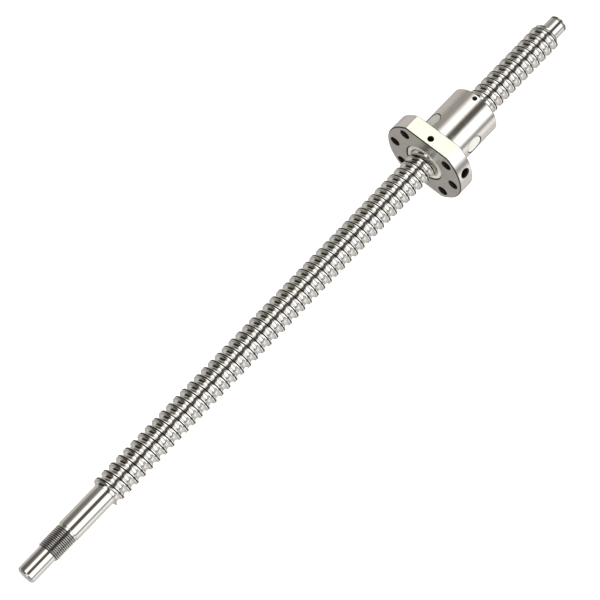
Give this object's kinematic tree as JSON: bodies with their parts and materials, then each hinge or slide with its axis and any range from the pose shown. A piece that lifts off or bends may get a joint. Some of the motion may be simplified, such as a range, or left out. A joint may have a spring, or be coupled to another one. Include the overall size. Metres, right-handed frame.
{
  "type": "ball screw assembly",
  "caption": "Ball screw with a flanged nut: a threaded steel shaft with turned journals at both ends and a nut whose balls recirculate through inserts.",
  "frame": {"origin": "centre of the end face of the drive journal, on the screw axis", "axes": "+X along the screw axis from the drive end to the floating end, +Z normal to the flange's upper flat at rest, +Y level to the left of +X"},
  "size_m": [0.4, 0.048, 0.04],
  "materials": {
    "shaft_steel": "ground and polished",
    "nut_steel": "fine ground",
    "wiper_plastic": "matte",
    "insert_plastic": "satin",
    "set_screw_steel": "black oxide",
    "ball_steel": "polished"
  },
  "bodies": {
    "screw": {"screw_shaft": "shaft_steel"},
    "nut_carrier": {"rear_wiper": "wiper_plastic"},
    "nut": {"nut_body": "nut_steel", "front_wiper": "wiper_plastic", "return_insert_1": "insert_plastic", "return_insert_2": "insert_plastic", "return_insert_3": "insert_plastic", "front_wiper_set_screw": "set_screw_steel", "rear_wiper_set_screw": "set_screw_steel", "ball_1_01": "ball_steel", "ball_1_02": "ball_steel", "ball_1_03": "ball_steel", "ball_1_04": "ball_steel", "ball_1_05": "ball_steel", "ball_1_06": "ball_steel", "ball_1_07": "ball_steel", "ball_1_08": "ball_steel", "ball_1_09": "ball_steel", "ball_1_10": "ball_steel", "ball_1_11": "ball_steel", "ball_1_12": "ball_steel", "ball_1_13": "ball_steel", "ball_1_14": "ball_steel", "ball_1_15": "ball_steel", "ball_1_16": "ball_steel", "ball_1_17": "ball_steel", "ball_2_01": "ball_steel", "ball_2_02": "ball_steel", "ball_2_03": "ball_steel", "ball_2_04": "ball_steel", "ball_2_05": "ball_steel", "ball_2_06": "ball_steel", "ball_2_07": "ball_steel", "ball_2_08": "ball_steel", "ball_2_09": "ball_steel", "ball_2_10": "ball_steel", "ball_2_11": "ball_steel", "ball_2_12": "ball_steel", "ball_2_13": "ball_steel", "ball_2_14": "ball_steel", "ball_2_15": "ball_steel", "ball_2_16": "ball_steel", "ball_2_17": "ball_steel", "ball_3_01": "ball_steel", "ball_3_02": "ball_steel", "ball_3_03": "ball_steel", "ball_3_04": "ball_steel", "ball_3_05": "ball_steel", "ball_3_06": "ball_steel", "ball_3_07": "ball_steel", "ball_3_08": "ball_steel", "ball_3_09": "ball_steel", "ball_3_10": "ball_steel", "ball_3_11": "ball_steel", "ball_3_12": "ball_steel", "ball_3_13": "ball_steel", "ball_3_14": "ball_steel", "ball_3_15": "ball_steel", "ball_3_16": "ball_steel", "ball_3_17": "ball_steel"}
  },
  "joints": [
    {"name": "nut_travel", "type": "slide", "parent": "screw", "child": "nut_carrier", "axis": [1, 0, 0], "range_m": [-0.2305, 0.0555]},
    {"name": "nut_spin", "type": "hinge", "parent": "nut_carrier", "child": "nut", "pos_m": [0.2894, 0, 0], "axis": [1, 0, 0], "range_deg": [-16560, 3960]}
  ],
  "couplings": [
    {"joint": "nut_travel", "follows": "nut_spin", "m_per_rad": 0.00079577}
  ]
}
